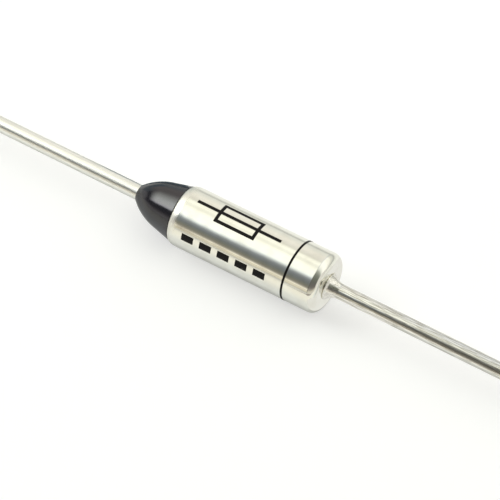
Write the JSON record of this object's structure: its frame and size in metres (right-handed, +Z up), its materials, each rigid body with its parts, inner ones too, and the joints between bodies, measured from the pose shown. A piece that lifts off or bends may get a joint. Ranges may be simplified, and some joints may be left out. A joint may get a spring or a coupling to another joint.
{
  "type": "thermal fuse",
  "caption": "Axial-lead thermal fuse: plated metal can with rolled mouth, black potted seal and flared case lead, holding a pellet, springs and a sliding star contact.",
  "frame": {"origin": "on the fuse's axis, half way along the straight wall of the can", "axes": "+X along the axis towards the case lead, +Z up"},
  "size_m": [0.0538, 0.004, 0.004],
  "materials": {
    "plated_can": "polished",
    "tinned_lead": "gloss",
    "pellet_compound": "matte",
    "plain_steel": "satin",
    "spring_steel": "gloss",
    "silvered_contact": "polished",
    "white_ceramic": "matte",
    "black_epoxy": "gloss"
  },
  "bodies": {
    "root": {"case": "plated_can", "case_lead": "tinned_lead", "thermal_pellet": "pellet_compound", "pressure_disc": "plain_steel", "compression_spring": "spring_steel", "contact_disc": "plain_steel", "star_contact": "silvered_contact", "trip_spring": "spring_steel", "ceramic_bushing": "white_ceramic", "isolated_lead": "tinned_lead", "epoxy_seal": "black_epoxy"}
  },
  "joints": []
}
